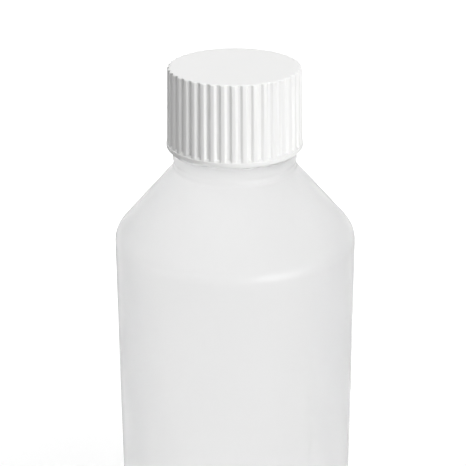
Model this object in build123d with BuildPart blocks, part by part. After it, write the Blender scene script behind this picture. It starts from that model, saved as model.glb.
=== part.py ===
from build123d import *
import os
from math import acos, cos, degrees, radians, sin, tan

# Bottle body. Heights are above the surface that the bottle stands on.
body_radius = 28.0
body_wall = 1.0
shoulder_corner_height = 108.0  # where the lines of the wall and of the cone meet
shoulder_slope = 49.3  # degrees above the horizontal
shoulder_round = 4.9

# Base: a flat ring to stand on, round a shallow recess that the mould's pinched seam crosses.
heel_width = 4.0  # of the 45 degree slope between the ring and the wall
heel_round = 6.0  # where that slope meets the wall
foot_inner_radius = 19.5
recess_floor_radius = 14.0
recess_depth = 2.4
base_wall = 1.3
seam_length = 24.0
seam_width = 0.8
seam_height = 0.5

# Collar: the plain cylinder between the cone and the threaded neck.
collar_radius = 14.2
collar_height = 4.15
collar_wall = 1.5
collar_foot_round = 1.0
collar_edge_chamfer = 0.4

# Threaded neck, a 28 mm screw finish.
neck_radius = 12.5
neck_wall = 1.7
neck_height = 17.0
lip_chamfer = 0.3
thread_pitch = 25.4 / 6
thread_turns = 1.5
thread_depth = 1.2
thread_root_width = 2.4
thread_crest_width = 1.0
thread_drop = 1.3  # from the lip down to the thread
thread_sink = 0.3  # how far a ridge's root reaches into the wall that carries it

# Cap.
cap_top_thickness = 1.4
skirt_wall = 1.44  # through a rib, just above the band
skirt_draft = 1.2  # degrees, narrowing upwards
skirt_edge_chamfer = 0.3
skirt_mouth_chamfer = 0.4
band_height = 1.2
band_proud = 0.16
rib_count = 40
first_groove_angle = 3.8
groove_depth = 0.5
groove_floor_width = 0.6
groove_mouth_width = 1.56
groove_foot_slope = 0.4
cutter_excess = 1.0  # how far a cutting shape reaches past what it cuts

# Liner: a foam disc that the lip presses against the underside of the cap's top.
liner_thickness = 1.0
liner_overhang = 1.0  # beyond the neck's wall
bead_height = 0.5
bead_overlap = 0.3  # how far the bead reaches under the liner's edge

# Clearances.
cap_to_collar = 0.7
skirt_to_neck_thread = 0.3
cap_thread_to_neck = 0.35
thread_flank_gap = 0.15
liner_side_gap = 0.2
liner_bead_gap = 0.15

# Levels and radii that follow from these.
shoulder_rise = tan(radians(shoulder_slope))
sideways_wall = body_wall / sin(radians(shoulder_slope))
inner_body_radius = body_radius - body_wall
collar_bore_radius = collar_radius - collar_wall
neck_bore_radius = neck_radius - neck_wall
collar_foot_height = shoulder_corner_height + (body_radius - collar_radius) * shoulder_rise
ledge_height = collar_foot_height + collar_height
lip_height = ledge_height + neck_height

skirt_bore_radius = neck_radius + thread_depth + skirt_to_neck_thread
cap_thread_depth = skirt_bore_radius - neck_radius - cap_thread_to_neck
rib_radius = skirt_bore_radius + skirt_wall
band_radius = rib_radius + band_proud
skirt_foot_height = ledge_height + cap_to_collar
band_top_height = skirt_foot_height + band_height
cap_underside_height = lip_height + liner_thickness
cap_top_height = cap_underside_height + cap_top_thickness
cap_top_radius = rib_radius - (cap_top_height - band_top_height) * tan(radians(skirt_draft))
liner_radius = neck_radius + liner_overhang
liner_seat_radius = liner_radius + liner_side_gap
bead_radius = liner_radius - bead_overlap
bead_top_height = lip_height - liner_bead_gap
bead_foot_height = bead_top_height - bead_height

# The cap's ridge bears on the underside of the neck's, as it does when the cap is tight.
neck_thread_height = lip_height - thread_drop - thread_root_width / 2 - thread_pitch * thread_turns
cap_flank_slope = (thread_root_width - thread_crest_width) / 2 / cap_thread_depth
ridge_spacing = (thread_crest_width + thread_root_width) / 2 - cap_flank_slope * skirt_to_neck_thread
cap_thread_height = neck_thread_height - ridge_spacing - thread_flank_gap


def inner_cone_height(radius):
    """Height at which the inside of the conical shoulder has this radius."""
    return shoulder_corner_height + (body_radius - sideways_wall - radius) * shoulder_rise


def thread_ridge(wall_radius, depth, outward, start_height):
    """A helical ridge on a round wall, outside it or inside it, that runs out flat at both ends."""
    side = 1 if outward else -1
    crest_radius = wall_radius + side * depth
    half_root = thread_root_width / 2
    half_crest = thread_crest_width / 2
    half_sunk = half_root + (half_root - half_crest) / depth * thread_sink
    run_out = degrees(acos(min(wall_radius, crest_radius) / max(wall_radius, crest_radius)))
    with BuildPart() as ridge:
        with BuildLine():
            path = Helix(
                pitch=thread_pitch,
                height=thread_pitch * thread_turns,
                radius=wall_radius,
                center=(0, 0, start_height),
            )
        with BuildSketch(Plane(origin=path @ 0, x_dir=(side, 0, 0), z_dir=path % 0)):
            with BuildLine():
                Polyline(
                    (-thread_sink, -half_sunk),
                    (depth, -half_crest),
                    (depth, half_crest),
                    (-thread_sink, half_sunk),
                    close=True,
                )
            make_face()
        sweep(path=path, is_frenet=True)
        # A flat cut at each end, touching the smaller radius, takes the ridge down to nothing.
        cut_depth = depth + cutter_excess
        cut_length = wall_radius * sin(radians(run_out)) + cutter_excess
        for turn, way in ((0, -1), (thread_turns, 1)):
            angle = 360 * turn if outward else 360 * turn - way * run_out
            with Locations(Location((0, 0, start_height + thread_pitch * turn), (0, 0, angle))):
                if outward:
                    with Locations((wall_radius + cut_depth / 2, 0)):
                        Box(cut_depth, 2 * cut_length, thread_pitch - cutter_excess / 2, mode=Mode.SUBTRACT)
                else:
                    with Locations((crest_radius - cut_depth / 2, way * cut_length / 2)):
                        Box(cut_depth, cut_length, thread_pitch - cutter_excess / 2, mode=Mode.SUBTRACT)
    return ridge.part


neck_thread = thread_ridge(neck_radius, thread_depth, True, neck_thread_height)
cap_thread = thread_ridge(skirt_bore_radius, cap_thread_depth, False, cap_thread_height)

# Bottle: one blown wall, thicker at the threaded neck. Each corner of its section has a rounding.
bottle_corners = (
    ((0, recess_depth), 0),
    ((recess_floor_radius, recess_depth), 0),
    ((foot_inner_radius, 0), 0),
    ((body_radius - heel_width, 0), 0),
    ((body_radius, heel_width), heel_round),
    ((body_radius, shoulder_corner_height), shoulder_round),
    ((collar_radius, collar_foot_height), collar_foot_round),
    ((collar_radius, ledge_height - collar_edge_chamfer), 0),
    ((collar_radius - collar_edge_chamfer, ledge_height), 0),
    ((neck_radius, ledge_height), 0),
    ((neck_radius, lip_height - lip_chamfer), 0),
    ((neck_radius - lip_chamfer, lip_height), 0),
    ((neck_bore_radius + lip_chamfer, lip_height), 0),
    ((neck_bore_radius, lip_height - lip_chamfer), 0),
    ((neck_bore_radius, ledge_height - collar_wall / 2), 0),
    ((collar_bore_radius, ledge_height - collar_wall), 0),
    ((collar_bore_radius, inner_cone_height(collar_bore_radius)), 0),
    ((inner_body_radius, inner_cone_height(inner_body_radius)), 0),
    ((inner_body_radius, base_wall + heel_width), 0),
    ((inner_body_radius - heel_width, base_wall), 0),
    ((foot_inner_radius, base_wall), 0),
    ((recess_floor_radius, recess_depth + base_wall), 0),
    ((0, recess_depth + base_wall), 0),
)
with BuildPart() as bottle:
    with BuildSketch(Plane.XZ):
        with BuildLine():
            wall_line = FilletPolyline(
                *(corner for corner, rounding in bottle_corners),
                radius=[rounding for corner, rounding in bottle_corners[1:-1]],
            )
            Line(wall_line @ 1, wall_line @ 0)
        make_face()
    revolve(axis=Axis.Z)
    add(neck_thread)
    # The ridge of plastic left where the mould's halves pinched the tube shut.
    with Locations((0, 0, recess_depth - seam_height)):
        Box(
            seam_length,
            seam_width,
            seam_height + base_wall / 2,
            align=(Align.CENTER, Align.CENTER, Align.MIN),
        )

# The cutting shape of one groove between two ribs. It stands along the drafted wall, and its foot slopes.
draft_angle = radians(skirt_draft)
groove_plane = Plane(
    origin=(rib_radius, 0, band_top_height),
    x_dir=(cos(draft_angle), 0, sin(draft_angle)),
    z_dir=(-sin(draft_angle), 0, cos(draft_angle)),
)
mouth_slope = (groove_mouth_width - groove_floor_width) / 2 / groove_depth
outer_half_width = groove_mouth_width / 2 + mouth_slope * cutter_excess
with BuildPart() as groove:
    with BuildSketch(groove_plane):
        with BuildLine():
            Polyline(
                (-groove_depth, -groove_floor_width / 2),
                (-groove_depth, groove_floor_width / 2),
                (cutter_excess, outer_half_width),
                (cutter_excess, -outer_half_width),
                close=True,
            )
        make_face()
    extrude(amount=cap_top_height - band_top_height + cutter_excess)
    floor_foot = groove.edges().filter_by(Axis.Y).group_by(Axis.Z)[0].sort_by(Axis.X)[0]
    chamfer(floor_foot, groove_foot_slope)

# Cap: top, skirt and plain band, with the thread, the liner's seat and its holding bead inside.
cap_corners = (
    (0, cap_underside_height),
    (liner_seat_radius, cap_underside_height),
    (liner_seat_radius, bead_top_height),
    (bead_radius, bead_top_height),
    (bead_radius, bead_foot_height),
    (skirt_bore_radius, bead_foot_height - (skirt_bore_radius - bead_radius)),
    (skirt_bore_radius, skirt_foot_height + skirt_mouth_chamfer),
    (skirt_bore_radius + skirt_mouth_chamfer, skirt_foot_height),
    (band_radius, skirt_foot_height),
    (band_radius, band_top_height),
    (rib_radius, band_top_height),
    (cap_top_radius, cap_top_height - skirt_edge_chamfer),
    (cap_top_radius - skirt_edge_chamfer, cap_top_height),
    (0, cap_top_height),
)
with BuildPart() as cap:
    with BuildSketch(Plane.XZ):
        with BuildLine():
            Polyline(*cap_corners, close=True)
        make_face()
    revolve(axis=Axis.Z)
    add(cap_thread)
    with PolarLocations(0, rib_count, start_angle=first_groove_angle):
        add(groove.part, mode=Mode.SUBTRACT)

# Liner: a die-cut disc.
with BuildPart() as liner:
    with BuildSketch(Plane.XY.offset(lip_height)):
        Circle(liner_radius)
    extrude(amount=liner_thickness)

bottle.part.label = "bottle"
cap.part.label = "cap"
liner.part.label = "liner"

os.makedirs("parts", exist_ok=True)
export_step(bottle.part, "parts/bottle.step")
export_step(cap.part, "parts/cap.step")
export_step(liner.part, "parts/liner.step")
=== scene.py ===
from math import acos, cos, pi, radians, sin, tan

import bmesh
import bpy
from mathutils import Matrix, Vector


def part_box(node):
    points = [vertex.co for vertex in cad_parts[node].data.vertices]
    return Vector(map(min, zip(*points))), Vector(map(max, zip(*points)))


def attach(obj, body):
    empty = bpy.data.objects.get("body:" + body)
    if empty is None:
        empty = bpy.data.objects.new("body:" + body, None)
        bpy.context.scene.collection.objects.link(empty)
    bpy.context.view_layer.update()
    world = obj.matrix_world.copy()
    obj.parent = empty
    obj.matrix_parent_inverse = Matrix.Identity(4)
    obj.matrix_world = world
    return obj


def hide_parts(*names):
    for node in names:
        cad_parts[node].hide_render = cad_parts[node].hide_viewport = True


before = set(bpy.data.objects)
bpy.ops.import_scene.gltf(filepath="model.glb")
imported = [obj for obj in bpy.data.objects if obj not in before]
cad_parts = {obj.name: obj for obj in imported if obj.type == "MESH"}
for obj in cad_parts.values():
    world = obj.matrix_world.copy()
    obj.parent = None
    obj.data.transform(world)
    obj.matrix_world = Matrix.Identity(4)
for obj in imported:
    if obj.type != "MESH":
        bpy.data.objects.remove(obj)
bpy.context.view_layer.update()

# Camera. It sees the bottle from close up through a long lens, from about 23 degrees above the level. It is
# turned a hair to its left and tipped a quarter of a degree, and the lower body runs out of its frame.
camera_place = (0, -0.3221, 0.2432)
camera_turn = radians(0.088)
camera_slope = radians(22.91)
camera_tip = radians(-0.26)
camera_data = bpy.data.cameras.new("camera")
camera_data.sensor_width = 36
camera_data.lens = 115.4
camera = bpy.data.objects.new("camera", camera_data)
bpy.context.collection.objects.link(camera)
camera.matrix_world = (
    Matrix.Translation(camera_place)
    @ Matrix.Rotation(camera_turn, 4, "Z")
    @ Matrix.Rotation(pi / 2 - camera_slope, 4, "X")
    @ Matrix.Rotation(camera_tip, 4, "Z")
)
bpy.context.scene.camera = camera

# Bottle. One wall of natural high-density polyethylene: a hot tube is pinched shut between the halves of
# a mould and blown against it, so the body is about 1 mm thick, the base carries the ridge of the pinch,
# and only the collar and the threaded neck are thicker. It stands on the ring round its hollow base.
mm = 0.001
bottle_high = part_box("bottle")[1]

body_radius = bottle_high.x
body_wall = 1.0 * mm
lip_height = bottle_high.z
neck_height = 17.0 * mm
neck_radius = 12.5 * mm
neck_bore_radius = 10.8 * mm
ledge_height = lip_height - neck_height
collar_radius = 14.2 * mm
collar_wall = 1.5 * mm
collar_height = 4.15 * mm
collar_foot_height = ledge_height - collar_height
shoulder_slope = radians(49.3)
shoulder_height = collar_foot_height - (body_radius - collar_radius) * tan(shoulder_slope)
heel_width = 4.0 * mm
foot_radius = 19.5 * mm
recess_radius = 14.0 * mm
recess_depth = 2.4 * mm
base_wall = 1.3 * mm
thread_pitch = 25.4 / 6 * mm
thread_turns = 1.5
thread_depth = 1.2 * mm
thread_root = 2.4 * mm
thread_crest = 1.0 * mm
thread_sink = 0.3 * mm
thread_drop = 1.3 * mm
neck_thread_height = lip_height - thread_drop - thread_root / 2 - thread_pitch * thread_turns

# Points nearer than this are one point, and edges that turn by more than this angle stay crisp.
weld = 0.001 * mm
crisp_edge = radians(35)


def add_node(tree, kind, inputs=None, **settings):
    """Adds a node with its settings. Each input is a socket to link or a value to set."""
    node = tree.nodes.new(kind)
    for name, value in settings.items():
        setattr(node, name, value)
    for name, value in (inputs or {}).items():
        if isinstance(value, bpy.types.NodeSocket):
            tree.links.new(value, node.inputs[name])
        else:
            node.inputs[name].default_value = value
    return node


def name_sockets(tree, inputs, output):
    """Gives a Geometry Nodes tree its named inputs and its output, and returns the inputs' sockets."""
    for name, kind in inputs:
        tree.interface.new_socket(name, in_out="INPUT", socket_type="NodeSocket" + kind)
    tree.interface.new_socket(output, in_out="OUTPUT", socket_type="NodeSocketGeometry")
    return add_node(tree, "NodeGroupInput").outputs


def lay_grid(tree, section, component, steps):
    """Adds a grid with a row for each point of a section and a column for each step along its way.
    Gives the grid and, for each of its points, the row, the share of the way and the section's point."""
    rows = add_node(
        tree, "GeometryNodeAttributeDomainSize", {"Geometry": section}, component=component
    ).outputs[0]
    columns = add_node(tree, "ShaderNodeMath", {0: steps, 1: 1}, operation="ADD").outputs[0]
    grid = add_node(tree, "GeometryNodeMeshGrid", {"Vertices X": columns, "Vertices Y": rows}).outputs["Mesh"]
    index = add_node(tree, "GeometryNodeInputIndex").outputs[0]
    row = add_node(tree, "ShaderNodeMath", {0: index, 1: rows}, operation="FLOORED_MODULO").outputs[0]
    quotient = add_node(tree, "ShaderNodeMath", {0: index, 1: rows}, operation="DIVIDE").outputs[0]
    column = add_node(tree, "ShaderNodeMath", {0: quotient}, operation="FLOOR").outputs[0]
    share = add_node(tree, "ShaderNodeMath", {0: column, 1: steps}, operation="DIVIDE").outputs[0]
    place = add_node(tree, "GeometryNodeInputPosition").outputs[0]
    corner = add_node(
        tree, "GeometryNodeSampleIndex", {"Geometry": section, "Value": place, "Index": row},
        data_type="FLOAT_VECTOR",
    ).outputs[0]
    return grid, row, share, add_node(tree, "ShaderNodeSeparateXYZ", {0: corner}).outputs


def close_round(tree, grid, radius, angle, height, finish, output):
    """Bends a grid round the Z axis, welds its seams and poles, and sends it out with its finish."""
    cosine = add_node(tree, "ShaderNodeMath", {0: angle}, operation="COSINE").outputs[0]
    sine = add_node(tree, "ShaderNodeMath", {0: angle}, operation="SINE").outputs[0]
    x = add_node(tree, "ShaderNodeMath", {0: radius, 1: cosine}, operation="MULTIPLY").outputs[0]
    y = add_node(tree, "ShaderNodeMath", {0: radius, 1: sine}, operation="MULTIPLY").outputs[0]
    around = add_node(tree, "ShaderNodeCombineXYZ", {"X": x, "Y": y, "Z": height}).outputs[0]
    bent = add_node(tree, "GeometryNodeSetPosition", {"Geometry": grid, "Position": around}).outputs[0]
    welded = add_node(tree, "GeometryNodeMergeByDistance", {"Geometry": bent, "Distance": weld}).outputs[0]
    whole = add_node(tree, "GeometryNodeRealizeInstances", {"Geometry": welded}).outputs[0]
    finished = add_node(tree, "GeometryNodeSetMaterial", {"Geometry": whole, "Material": finish}).outputs[0]
    add_node(tree, "NodeGroupOutput", {output: finished})


# Tree that turns a section about the Z axis, with grooves cut into the corners that have a share of them.
turned = bpy.data.node_groups.new("turned_section", "GeometryNodeTree")
size = name_sockets(turned, (
    ("Section", "Geometry"),
    ("Steps", "Int"),
    ("Rounding steps", "Int"),
    ("Groove count", "Int"),
    ("Groove depth", "Float"),
    ("Groove floor", "Float"),
    ("Groove mouth", "Float"),
    ("First groove", "Float"),
    ("Finish", "Material"),
), "Wall")
rounding = add_node(
    turned, "GeometryNodeInputNamedAttribute", {"Name": "rounding"}, data_type="FLOAT"
).outputs[0]
chain = add_node(turned, "GeometryNodeMeshToCurve", {"Mesh": size["Section"]}).outputs[0]
rounded = add_node(
    turned, "GeometryNodeFilletCurve",
    {"Curve": chain, "Radius": rounding, "Count": size["Rounding steps"]},
    mode="POLY",
).outputs[0]
grid, row, turn, corner = lay_grid(turned, rounded, "CURVE", size["Steps"])
angle = add_node(turned, "ShaderNodeMath", {0: turn, 1: 2 * pi}, operation="MULTIPLY").outputs[0]
groove = add_node(
    turned, "GeometryNodeInputNamedAttribute", {"Name": "groove"}, data_type="FLOAT"
).outputs[0]
depth_share = add_node(
    turned, "GeometryNodeSampleIndex", {"Geometry": rounded, "Value": groove, "Index": row}
).outputs[0]
# How far a point lies from the middle of the nearest groove, measured round the wall.
half_spacing = add_node(
    turned, "ShaderNodeMath", {0: pi, 1: size["Groove count"]}, operation="DIVIDE"
).outputs[0]
minus_half = add_node(turned, "ShaderNodeMath", {0: half_spacing, 1: -1}, operation="MULTIPLY").outputs[0]
from_first = add_node(
    turned, "ShaderNodeMath", {0: angle, 1: size["First groove"]}, operation="SUBTRACT"
).outputs[0]
aside = add_node(
    turned, "ShaderNodeMath", {0: from_first, 1: half_spacing, 2: minus_half}, operation="WRAP"
).outputs[0]
aside = add_node(turned, "ShaderNodeMath", {0: aside}, operation="ABSOLUTE").outputs[0]
aside = add_node(turned, "ShaderNodeMath", {0: aside, 1: corner["X"]}, operation="MULTIPLY").outputs[0]
# The share of the depth is 1 on the groove's floor and 0 beside its mouth, and both corners are softened.
groove_softness = 0.15
half_floor = add_node(
    turned, "ShaderNodeMath", {0: size["Groove floor"], 1: 0.5}, operation="MULTIPLY"
).outputs[0]
half_mouth = add_node(
    turned, "ShaderNodeMath", {0: size["Groove mouth"], 1: 0.5}, operation="MULTIPLY"
).outputs[0]
flank = add_node(
    turned, "ShaderNodeMapRange",
    {"Value": aside, "From Min": half_floor, "From Max": half_mouth, "To Min": 1, "To Max": 0},
    clamp=False,
).outputs[0]
flank = add_node(
    turned, "ShaderNodeMath", {0: flank, 1: 1, 2: groove_softness}, operation="SMOOTH_MIN"
).outputs[0]
flank = add_node(
    turned, "ShaderNodeMath", {0: flank, 1: 0, 2: groove_softness}, operation="SMOOTH_MAX"
).outputs[0]
cut = add_node(turned, "ShaderNodeMath", {0: flank, 1: size["Groove depth"]}, operation="MULTIPLY").outputs[0]
cut = add_node(turned, "ShaderNodeMath", {0: cut, 1: depth_share}, operation="MULTIPLY").outputs[0]
radius = add_node(turned, "ShaderNodeMath", {0: corner["X"], 1: cut}, operation="SUBTRACT").outputs[0]
close_round(turned, grid, radius, angle, corner["Z"], size["Finish"], "Wall")

# Tree that winds a ridge's section round the Z axis as a right-hand thread, which runs out at both ends.
thread = bpy.data.node_groups.new("thread_ridge", "GeometryNodeTree")
size = name_sockets(thread, (
    ("Section", "Geometry"),
    ("Steps", "Int"),
    ("Wall radius", "Float"),
    ("Root offset", "Float"),
    ("Pitch", "Float"),
    ("Turns", "Float"),
    ("Start height", "Float"),
    ("Run out", "Float"),
    ("Finish", "Material"),
), "Ridge")
grid, _, share, corner = lay_grid(thread, size["Section"], "MESH", size["Steps"])
turn = add_node(thread, "ShaderNodeMath", {0: share, 1: size["Turns"]}, operation="MULTIPLY").outputs[0]
angle = add_node(thread, "ShaderNodeMath", {0: turn, 1: 2 * pi}, operation="MULTIPLY").outputs[0]
left = add_node(thread, "ShaderNodeMath", {0: size["Turns"], 1: turn}, operation="SUBTRACT").outputs[0]
left = add_node(thread, "ShaderNodeMath", {0: left, 1: 2 * pi}, operation="MULTIPLY").outputs[0]
to_end = add_node(thread, "ShaderNodeMath", {0: angle, 1: left}, operation="MINIMUM").outputs[0]
# The ridge grows from nothing over the run-out's angle, in height and, faster, in width.
grown = add_node(
    thread, "ShaderNodeMapRange", {"Value": to_end, "From Max": size["Run out"]},
    interpolation_type="SMOOTHSTEP",
).outputs[0]
widened = add_node(thread, "ShaderNodeMath", {0: grown}, operation="SQRT").outputs[0]
above_root = add_node(
    thread, "ShaderNodeMath", {0: corner["X"], 1: size["Root offset"]}, operation="SUBTRACT"
).outputs[0]
proud = add_node(
    thread, "ShaderNodeMath", {0: above_root, 1: grown, 2: size["Root offset"]}, operation="MULTIPLY_ADD"
).outputs[0]
radius = add_node(thread, "ShaderNodeMath", {0: proud, 1: size["Wall radius"]}, operation="ADD").outputs[0]
climb = add_node(
    thread, "ShaderNodeMath", {0: turn, 1: size["Pitch"], 2: size["Start height"]}, operation="MULTIPLY_ADD"
).outputs[0]
height = add_node(
    thread, "ShaderNodeMath", {0: corner["Z"], 1: widened, 2: climb}, operation="MULTIPLY_ADD"
).outputs[0]
close_round(thread, grid, radius, angle, height, size["Finish"], "Ridge")


def section_object(name, corners):
    """An object whose mesh is a chain of section corners.
    Each has a radius and a height, and it may have a rounding and a share of the grooves' depth."""
    mesh = bpy.data.meshes.new(name)
    places = [(corner[0], 0, corner[1]) for corner in corners]
    mesh.from_pydata(places, [(i, i + 1) for i in range(len(places) - 1)], [])
    for column, attribute in ((2, "rounding"), (3, "groove")):
        values = [corner[column] if len(corner) > column else 0 for corner in corners]
        mesh.attributes.new(attribute, "FLOAT", "POINT").data.foreach_set("value", values)
    obj = bpy.data.objects.new(name, mesh)
    bpy.context.collection.objects.link(obj)
    return obj


def run_tree(obj, tree, **sizes):
    """Puts a Geometry Nodes tree on an object with these sizes, by its sockets' identifiers."""
    modifier = obj.modifiers.new(tree.name, "NODES")
    modifier.node_group = tree
    for socket in tree.interface.items_tree:
        key = socket.name.replace(" ", "_").lower()
        if key in sizes:
            modifier[socket.identifier] = sizes[key]


def plain_mesh(obj):
    """Makes the evaluated shape the object's own closed mesh, smooth but for its crisp edges."""
    evaluated = obj.evaluated_get(bpy.context.evaluated_depsgraph_get())
    mesh = bpy.data.meshes.new_from_object(evaluated)
    mesh.name = obj.name
    obj.modifiers.clear()
    obj.data = mesh
    shape = bmesh.new()
    shape.from_mesh(mesh)
    bmesh.ops.remove_doubles(shape, verts=shape.verts, dist=weld)
    bmesh.ops.dissolve_degenerate(shape, edges=shape.edges, dist=weld)
    bmesh.ops.recalc_face_normals(shape, faces=shape.faces)
    shape.to_mesh(mesh)
    shape.free()
    mesh.shade_smooth()
    mesh.set_sharp_from_angle(angle=crisp_edge)


def join_ridge(wall, ridge):
    """Makes a ridge one with the wall that it stands on."""
    plain_mesh(ridge)
    joined = wall.modifiers.new(ridge.name, "BOOLEAN")
    joined.operation = "UNION"
    joined.solver = "EXACT"
    joined.object = ridge
    plain_mesh(wall)
    bpy.data.objects.remove(ridge)


def wind_thread(wall, name, wall_radius, depth, start_height, finish):
    """Winds a ridge on the wall, outwards or with a negative depth inwards, and joins it to the wall."""
    side = 1 if depth > 0 else -1
    root = -side * thread_sink
    half_sunk = thread_root / 2 + (thread_root - thread_crest) / 2 / abs(depth) * thread_sink
    # Each corner of the crest is cut off, this far along it and down from it, and this far out on the flank.
    half_crest = thread_crest / 2
    crest_cut = 0.25 * mm
    flank_cut = 0.15 * mm
    ridge = section_object(name, [
        (root, -half_sunk),
        (depth - side * crest_cut, -half_crest - flank_cut),
        (depth, -half_crest + crest_cut),
        (depth, half_crest - crest_cut),
        (depth - side * crest_cut, half_crest + flank_cut),
        (root, half_sunk),
        (root, -half_sunk),
    ])
    crest_radius = wall_radius + depth
    run_out = acos(min(wall_radius, crest_radius) / max(wall_radius, crest_radius))
    run_tree(
        ridge, thread, steps=168, wall_radius=wall_radius, root_offset=root, pitch=thread_pitch,
        turns=thread_turns, start_height=start_height, run_out=run_out, finish=finish,
    )
    join_ridge(wall, ridge)


def linear(hex_colour):
    """An sRGB hex colour as linear red, green, blue and alpha."""
    parts = [int(hex_colour[i:i + 2], 16) / 255 for i in (0, 2, 4)]
    return tuple(p / 12.92 if p <= 0.04045 else ((p + 0.055) / 1.055) ** 2.4 for p in parts) + (1,)


def blank_material(name):
    """A material whose node tree is still empty."""
    material = bpy.data.materials.new(name)
    material.use_nodes = True
    material.node_tree.nodes.clear()
    return material


# The sockets where a Mix node takes its two colours and gives the mixed one, and the range of most noise.
first_colour, second_colour, mixed_colour = 6, 7, 2
noise_low, noise_high = 0.3, 0.7

# Natural high-density polyethylene, blown against a fine-blasted mould. It has no pigment, and its wall
# scatters the light that goes through, so it looks evenly milky with nothing to be made out behind it,
# under a satin gloss that is a little uneven where the wall cooled.
polyethylene = blank_material("blow_moulded_natural_polyethylene")
tree = polyethylene.node_tree
place = add_node(tree, "ShaderNodeTexCoord").outputs["Object"]
# The wall's unevenness is about 9 mm wide and drawn out upwards, as the hot tube was.
drawn = add_node(tree, "ShaderNodeMapping", {"Vector": place, "Scale": (1, 1, 0.35)}).outputs[0]
waves = add_node(
    tree, "ShaderNodeTexNoise", {"Vector": drawn, "Scale": 1 / (9 * mm), "Detail": 2}
).outputs["Fac"]
# The blasted mould's grain is near 0.1 mm, drawn at 0.7 mm so that it shows.
grain = add_node(
    tree, "ShaderNodeTexNoise", {"Vector": place, "Scale": 1 / (0.7 * mm), "Detail": 3}
).outputs["Fac"]
clouded = add_node(
    tree, "ShaderNodeMix",
    {"Factor": waves, first_colour: linear("F1F1F1"), second_colour: linear("F4F4F4")},
    data_type="RGBA",
).outputs[mixed_colour]
# Painted light: over the last 14 mm below the collar the wall's colour turns lighter, to make up for the
# shade that the opaque cap and the thick neck cast inside the bottle there.
along_axis = add_node(tree, "ShaderNodeSeparateXYZ", {0: place}).outputs
painted_light_below_collar = add_node(
    tree, "ShaderNodeMapRange",
    {"Value": along_axis["Z"], "From Min": collar_foot_height - 14 * mm, "From Max": collar_foot_height},
    interpolation_type="SMOOTHSTEP",
).outputs[0]
# The milky colour, with the painted light below the collar mixed in.
milky_with_painted_light = add_node(
    tree, "ShaderNodeMix",
    {"Factor": painted_light_below_collar, first_colour: clouded, second_colour: linear("F5F5F5")},
    data_type="RGBA",
).outputs[mixed_colour]
satin = add_node(
    tree, "ShaderNodeMapRange",
    {"Value": waves, "From Min": noise_low, "From Max": noise_high, "To Min": 0.78, "To Max": 0.84},
).outputs[0]
# The mould's halves meet in the plane of the base's ridge and leave a line 0.3 mm wide up both sides.
across = add_node(tree, "ShaderNodeMath", {0: along_axis["Y"]}, operation="ABSOLUTE").outputs[0]
line = add_node(
    tree, "ShaderNodeMapRange", {"Value": across, "From Max": 0.15 * mm, "To Min": 1, "To Max": 0},
    interpolation_type="SMOOTHSTEP",
).outputs[0]
wavy = add_node(tree, "ShaderNodeBump", {"Height": waves, "Distance": 0.12 * mm}).outputs[0]
lined = add_node(
    tree, "ShaderNodeBump", {"Height": line, "Distance": 0.04 * mm, "Normal": wavy}
).outputs[0]
grained = add_node(
    tree, "ShaderNodeBump", {"Height": grain, "Distance": 0.006 * mm, "Normal": lined}
).outputs[0]
# Light passes the rough wall and comes out spread. The coat has polyethylene's own IOR of 1.54 and gives the
# gloss, and the wall's is lower, matched to how much light the closed bottle sends on.
shader = add_node(
    tree, "ShaderNodeBsdfPrincipled",
    {
        "Base Color": milky_with_painted_light, "Roughness": satin, "Normal": grained, "IOR": 1.25,
        "Transmission Weight": 1, "Coat Weight": 0.7, "Coat Roughness": 0.35, "Coat IOR": 1.54,
    },
)
add_node(tree, "ShaderNodeOutputMaterial", {"Surface": shader.outputs[0]})

# The cone's inside runs a wall's thickness from its outside, and meets the body's inside and the collar's
# bore at these heights.
sideways_wall = body_wall / sin(shoulder_slope)
inner_radius = body_radius - body_wall
inner_shoulder_height = shoulder_height + (body_radius - sideways_wall - inner_radius) * tan(shoulder_slope)
collar_bore_radius = collar_radius - collar_wall
inner_collar_foot = shoulder_height + (body_radius - sideways_wall - collar_bore_radius) * tan(shoulder_slope)

# A soft shallow groove round the collar's foot, as a mould's neck insert leaves where it ends.
foot_groove_height = collar_foot_height + 1.3 * mm
foot_groove_reach = 0.7 * mm
foot_groove_depth = 0.16 * mm
foot_groove_round = 0.3 * mm

# How much each corner of the wall's section is rounded.
recess_round = 3.0 * mm
foot_round = 1.2 * mm
heel_foot_round = 2.0 * mm
heel_round = 6.0 * mm
shoulder_round = 4.9 * mm
collar_foot_round = 1.0 * mm
ledge_round = 0.5 * mm
neck_round = 0.4 * mm
bore_foot_round = 1.0 * mm
inner_collar_round = 2.0 * mm

bottle_shell = section_object("bottle_shell", [
    (0, recess_depth),
    (recess_radius, recess_depth, recess_round),
    (foot_radius, 0, foot_round),
    (body_radius - heel_width, 0, heel_foot_round),
    (body_radius, heel_width, heel_round),
    (body_radius, shoulder_height, shoulder_round),
    (collar_radius, collar_foot_height, collar_foot_round),
    (collar_radius, foot_groove_height - foot_groove_reach, foot_groove_round),
    (collar_radius - foot_groove_depth, foot_groove_height, foot_groove_round),
    (collar_radius, foot_groove_height + foot_groove_reach, foot_groove_round),
    (collar_radius, ledge_height, ledge_round),
    (neck_radius, ledge_height, neck_round),
    (neck_radius, lip_height, neck_round),
    (neck_bore_radius, lip_height, neck_round),
    (neck_bore_radius, ledge_height - collar_wall / 2, bore_foot_round),
    (collar_bore_radius, ledge_height - collar_wall, bore_foot_round),
    (collar_bore_radius, inner_collar_foot, inner_collar_round),
    (inner_radius, inner_shoulder_height, shoulder_round),
    (inner_radius, base_wall + heel_width, heel_round - body_wall),
    (inner_radius - heel_width, base_wall, heel_foot_round),
    (foot_radius, base_wall, foot_round),
    (recess_radius, recess_depth + base_wall, recess_round),
    (0, recess_depth + base_wall),
])
# A wall without grooves counts as one groove of no depth.
run_tree(bottle_shell, turned, steps=256, rounding_steps=8, groove_count=1, finish=polyethylene)
plain_mesh(bottle_shell)
wind_thread(bottle_shell, "neck_thread", neck_radius, thread_depth, neck_thread_height, polyethylene)

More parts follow.
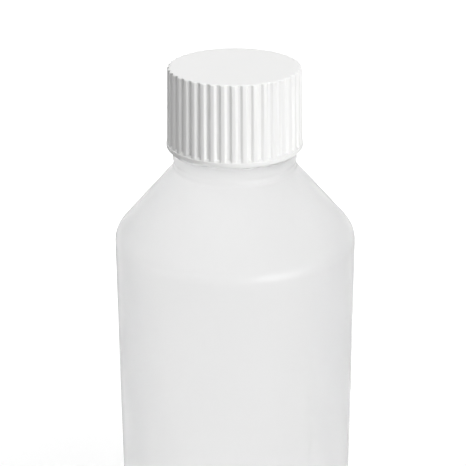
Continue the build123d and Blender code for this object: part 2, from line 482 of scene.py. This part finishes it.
# The ridge of the pinch crosses the base's recess. It is 0.5 mm high, rounded, and tapers off at both ends,
# which stay a hair blunt.
pinch_length = 24 * mm
pinch_width = 0.8 * mm
pinch_height = 0.5 * mm
pinch_stations = 24
pinch_sides = 16
blunt_end = 0.02
pinch = bmesh.new()
rings = []
for station in range(pinch_stations + 1):
    along = -cos(pi * station / pinch_stations)
    fullness = max(1 - along ** 4, blunt_end)
    ring = []
    for side in range(pinch_sides):
        bend = 2 * pi * side / pinch_sides
        ring.append(pinch.verts.new((
            along * pinch_length / 2,
            cos(bend) * pinch_width / 2 * fullness,
            recess_depth - sin(bend) * pinch_height * fullness,
        )))
    rings.append(ring)
for ring, next_ring in zip(rings, rings[1:]):
    for side in range(pinch_sides):
        pinch.faces.new((ring[side], ring[side - 1], next_ring[side - 1], next_ring[side]))
pinch.faces.new(rings[0])
pinch.faces.new(rings[-1])
pinch_mesh = bpy.data.meshes.new("pinch_ridge")
pinch.to_mesh(pinch_mesh)
pinch.free()
pinch_mesh.materials.append(polyethylene)
pinch_ridge = bpy.data.objects.new("pinch_ridge", pinch_mesh)
bpy.context.collection.objects.link(pinch_ridge)
join_ridge(bottle_shell, pinch_ridge)

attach(bottle_shell, "bottle")
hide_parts("bottle")

# Liner. A disc punched from a sheet of closed-cell polyethylene foam and snapped behind a bead in the cap,
# where the bottle's lip presses into it and seals.
liner_low, liner_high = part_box("liner")
liner_radius = liner_high.x
liner_round = 0.2 * mm

# Closed-cell polyethylene foam: off-white and matt. Its cells are 0.2 to 0.4 mm across, and those that were
# cut open show as fine pits.
foam = blank_material("closed_cell_polyethylene_foam")
tree = foam.node_tree
place = add_node(tree, "ShaderNodeTexCoord").outputs["Object"]
cells = add_node(tree, "ShaderNodeTexVoronoi", {"Vector": place, "Scale": 1 / (0.4 * mm)}).outputs["Distance"]
pitted = add_node(tree, "ShaderNodeBump", {"Height": cells, "Distance": 0.08 * mm}).outputs[0]
mottled = add_node(
    tree, "ShaderNodeMix",
    {"Factor": cells, first_colour: linear("ECECE8"), second_colour: linear("F6F6F3")},
    data_type="RGBA",
).outputs[mixed_colour]
shader = add_node(
    tree, "ShaderNodeBsdfPrincipled",
    {
        "Base Color": mottled, "Roughness": 0.75, "Normal": pitted, "IOR": 1.5,
        "Subsurface Weight": 0.3, "Subsurface Radius": (1, 1, 1), "Subsurface Scale": 0.4 * mm,
    },
    subsurface_method="RANDOM_WALK",
)
add_node(tree, "ShaderNodeOutputMaterial", {"Surface": shader.outputs[0]})

liner_disc = section_object("liner_disc", [
    (0, liner_low.z),
    (liner_radius, liner_low.z, liner_round),
    (liner_radius, liner_high.z, liner_round),
    (0, liner_high.z),
])
run_tree(liner_disc, turned, steps=128, rounding_steps=4, groove_count=1, finish=foam)
plain_mesh(liner_disc)
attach(liner_disc, "liner")
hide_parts("liner")

# Cap. Injection-moulded white polypropylene: a flat top, a skirt that narrows a little upwards so that it
# leaves the mould, forty ribs for the grip that run out over the top edge, and a plain band at the foot.
# A ridge inside screws onto the neck.
cap_low, cap_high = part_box("cap")
skirt_foot_height = cap_low.z
skirt_draft = radians(1.2)
skirt_wall = 1.44 * mm
skirt_mouth_cut = 0.4 * mm
skirt_inner_round = 0.3 * mm
band_radius = cap_high.x
band_proud = 0.16 * mm
band_height = 1.2 * mm
band_foot_round = 0.45 * mm
band_edge_round = 0.12 * mm
band_top_height = skirt_foot_height + band_height
rib_radius = band_radius - band_proud
skirt_bore_radius = rib_radius - skirt_wall
cap_top_height = cap_high.z
cap_top_radius = rib_radius - (cap_top_height - band_top_height) * tan(skirt_draft)
cap_underside_height = liner_high.z
rib_count = 40
steps_per_rib = 20
first_groove = radians(3.8)
groove_depth = 0.5 * mm
groove_floor = 0.6 * mm
groove_mouth = 1.56 * mm
groove_foot = 0.4 * mm

# The liner has a little room in its seat and above the bead that holds it.
liner_side_gap = 0.2 * mm
liner_bead_gap = 0.15 * mm
bead_overlap = 0.3 * mm
bead_height = 0.5 * mm
bead_round = 0.15 * mm
seat_radius = liner_radius + liner_side_gap
bead_radius = liner_radius - bead_overlap
bead_top_height = liner_low.z - liner_bead_gap
bead_foot_height = bead_top_height - bead_height
bead_slope_foot = bead_foot_height - (skirt_bore_radius - bead_radius)

# The cap's ridge clears the neck's wall, and bears on the underside of the neck's ridge but for a small gap.
cap_thread_to_neck = 0.35 * mm
thread_flank_gap = 0.15 * mm
cap_thread_depth = skirt_bore_radius - neck_radius - cap_thread_to_neck
cap_flank_slope = (thread_root - thread_crest) / 2 / cap_thread_depth
crest_to_bore = skirt_bore_radius - neck_radius - thread_depth
ridge_spacing = (thread_crest + thread_root) / 2 - cap_flank_slope * crest_to_bore
cap_thread_height = neck_thread_height - ridge_spacing - thread_flank_gap

# White polypropylene, filled with titanium white and moulded against polished steel: opaque, with a clean
# satin gloss, faintly cloudy where the melt flowed.
polypropylene = blank_material("injection_moulded_white_polypropylene")
tree = polypropylene.node_tree
place = add_node(tree, "ShaderNodeTexCoord").outputs["Object"]
# The clouds of the flow are about 6 mm wide, and the grain is drawn at 0.4 mm so that it shows.
flow = add_node(
    tree, "ShaderNodeTexNoise", {"Vector": place, "Scale": 1 / (6 * mm), "Detail": 2}
).outputs["Fac"]
grain = add_node(
    tree, "ShaderNodeTexNoise", {"Vector": place, "Scale": 1 / (0.4 * mm), "Detail": 2}
).outputs["Fac"]
clouded = add_node(
    tree, "ShaderNodeMix",
    {"Factor": flow, first_colour: linear("F7F7F6"), second_colour: linear("FAFAF9")},
    data_type="RGBA",
).outputs[mixed_colour]
satin = add_node(
    tree, "ShaderNodeMapRange",
    {"Value": flow, "From Min": noise_low, "From Max": noise_high, "To Min": 0.38, "To Max": 0.46},
).outputs[0]
grained = add_node(tree, "ShaderNodeBump", {"Height": grain, "Distance": 0.006 * mm}).outputs[0]
shader = add_node(
    tree, "ShaderNodeBsdfPrincipled",
    {
        "Base Color": clouded, "Roughness": satin, "Normal": grained, "IOR": 1.49,
        "Subsurface Weight": 0.3, "Subsurface Radius": (1, 1, 0.95), "Subsurface Scale": 0.2 * mm,
    },
    subsurface_method="RANDOM_WALK",
)
add_node(tree, "ShaderNodeOutputMaterial", {"Surface": shader.outputs[0]})

# The grooves run out over the rounded top edge, where they lose more than half of their depth.
top_round = 0.35 * mm
top_edge_steps = 4
groove_loss = 0.6
top_edge = []
for step in range(top_edge_steps + 1):
    share = step / top_edge_steps
    bend = pi / 2 * share
    top_edge.append((
        cap_top_radius - top_round * (1 - cos(bend)),
        cap_top_height - top_round * (1 - sin(bend)),
        0,
        1 - groove_loss * share,
    ))
# A ring of points further in keeps the grooves' notched edge out of the flat top's long faces.
flat_top_radius = cap_top_radius - 1.5 * mm

cap_shell = section_object("cap_shell", [
    (0, cap_underside_height),
    (seat_radius, cap_underside_height),
    (seat_radius, bead_top_height),
    (bead_radius, bead_top_height, bead_round),
    (bead_radius, bead_foot_height, bead_round),
    (skirt_bore_radius, bead_slope_foot, skirt_inner_round),
    (skirt_bore_radius, skirt_foot_height + skirt_mouth_cut),
    (skirt_bore_radius + skirt_mouth_cut, skirt_foot_height),
    (band_radius, skirt_foot_height, band_foot_round),
    (band_radius, band_top_height, band_edge_round),
    (rib_radius, band_top_height),
    (rib_radius - groove_foot * tan(skirt_draft), band_top_height + groove_foot, 0, 1),
    *top_edge,
    (flat_top_radius, cap_top_height),
    (0, cap_top_height),
])
run_tree(
    cap_shell, turned, steps=rib_count * steps_per_rib, rounding_steps=4, groove_count=rib_count,
    groove_depth=groove_depth, groove_floor=groove_floor, groove_mouth=groove_mouth,
    first_groove=first_groove, finish=polypropylene,
)
plain_mesh(cap_shell)
wind_thread(cap_shell, "cap_thread", skirt_bore_radius, -cap_thread_depth, cap_thread_height, polypropylene)
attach(cap_shell, "cap")
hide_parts("cap")

# Floor. A broad sheet of matt white studio paper that the bottle stands on. Seen straight by the camera it is
# white, and it keeps the bottle's shadow.
floor_reach = 4
floor_corners = [(x * floor_reach, y * floor_reach, 0) for x, y in ((-1, -1), (1, -1), (1, 1), (-1, 1))]
floor_mesh = bpy.data.meshes.new("floor")
floor_mesh.from_pydata(floor_corners, [], [(0, 1, 2, 3)])
floor = bpy.data.objects.new("floor", floor_mesh)
bpy.context.collection.objects.link(floor)

# Matt white paper, with no gloss to speak of. Near the bottle its own white leaves room for the shadow, and
# further off it makes up for the lamps.
white_near = 0.48
white_far = 1
paper = blank_material("matt_white_paper")
tree = paper.node_tree
ray = add_node(tree, "ShaderNodeLightPath").outputs
place = add_node(tree, "ShaderNodeTexCoord").outputs["Object"]
away = add_node(tree, "ShaderNodeVectorMath", {0: place}, operation="LENGTH").outputs["Value"]
white = add_node(
    tree, "ShaderNodeMapRange",
    {"Value": away, "From Min": 50 * mm, "From Max": 350 * mm, "To Min": white_near, "To Max": white_far},
    interpolation_type="SMOOTHSTEP",
).outputs[0]
seen = add_node(tree, "ShaderNodeMath", {0: ray["Is Camera Ray"], 1: white}, operation="MULTIPLY").outputs[0]
# Through the milky wall and in gloss the paper is plain white, with little of the lamps' own light.
white_through = 0.95
through = add_node(
    tree, "ShaderNodeMath", {0: ray["Is Transmission Ray"], 1: ray["Is Glossy Ray"]}, operation="MAXIMUM"
).outputs[0]
glow = add_node(tree, "ShaderNodeMath", {0: through, 1: white_through}, operation="MULTIPLY").outputs[0]
strength = add_node(tree, "ShaderNodeMath", {0: seen, 1: glow}, operation="MAXIMUM").outputs[0]
lit = add_node(
    tree, "ShaderNodeMix",
    {"Factor": through, first_colour: linear("D2D2D2"), second_colour: linear("707070")},
    data_type="RGBA",
).outputs[mixed_colour]
shader = add_node(
    tree, "ShaderNodeBsdfPrincipled",
    {
        "Base Color": lit, "Roughness": 0.9, "Specular IOR Level": 0.1,
        "Emission Color": linear("FFFFFF"), "Emission Strength": strength,
    },
)
add_node(tree, "ShaderNodeOutputMaterial", {"Surface": shader.outputs[0]})
floor_mesh.materials.append(paper)

# Studio light. One broad soft box low at the right front, one overhead, and a pale room much dimmer than they
# are, so that faces to the left and at the back fall off to grey. Rays that go through the milky wall don't
# meet the lamps but the white room and paper behind it. Seen low from across the soft box, the upper part of
# the bottle still comes out white.
lamp_aim = Vector((0, 0, 0.11))
for name, lamp_place, width, height, watts in (
    ("key_light", (0.57, -0.8, 0.24), 0.8, 0.4, 6.3),
    ("top_light", (-0.05, 0.05, 1.1), 0.8, 0.8, 7.6),
):
    lamp = bpy.data.lights.new(name, "AREA")
    lamp.shape = "RECTANGLE"
    lamp.size = width
    lamp.size_y = height
    lamp.energy = watts
    lamp_object = bpy.data.objects.new(name, lamp)
    bpy.context.collection.objects.link(lamp_object)
    lamp_object.location = lamp_place
    lamp_object.rotation_euler = (lamp_aim - Vector(lamp_place)).to_track_quat("-Z", "Y").to_euler()
    lamp_object.visible_transmission = False
room = bpy.data.worlds.new("pale_room")
bpy.context.scene.world = room
room.use_nodes = True
tree = room.node_tree
tree.nodes.clear()
# Seen straight, through the wall or in gloss the room is white, and it lights the bottle far less than that.
room_seen = 1
room_light = 0.13
ray = add_node(tree, "ShaderNodeLightPath").outputs
seen = add_node(
    tree, "ShaderNodeMath", {0: ray["Is Camera Ray"], 1: ray["Is Transmission Ray"]}, operation="MAXIMUM"
).outputs[0]
seen = add_node(tree, "ShaderNodeMath", {0: seen, 1: ray["Is Glossy Ray"]}, operation="MAXIMUM").outputs[0]
strength = add_node(
    tree, "ShaderNodeMapRange", {"Value": seen, "To Min": room_light, "To Max": room_seen}
).outputs[0]
pale = add_node(tree, "ShaderNodeBackground", {"Color": linear("FFFFFF"), "Strength": strength})
add_node(tree, "ShaderNodeOutputWorld", {"Surface": pale.outputs[0]})
bpy.context.scene.view_settings.view_transform = "Standard"
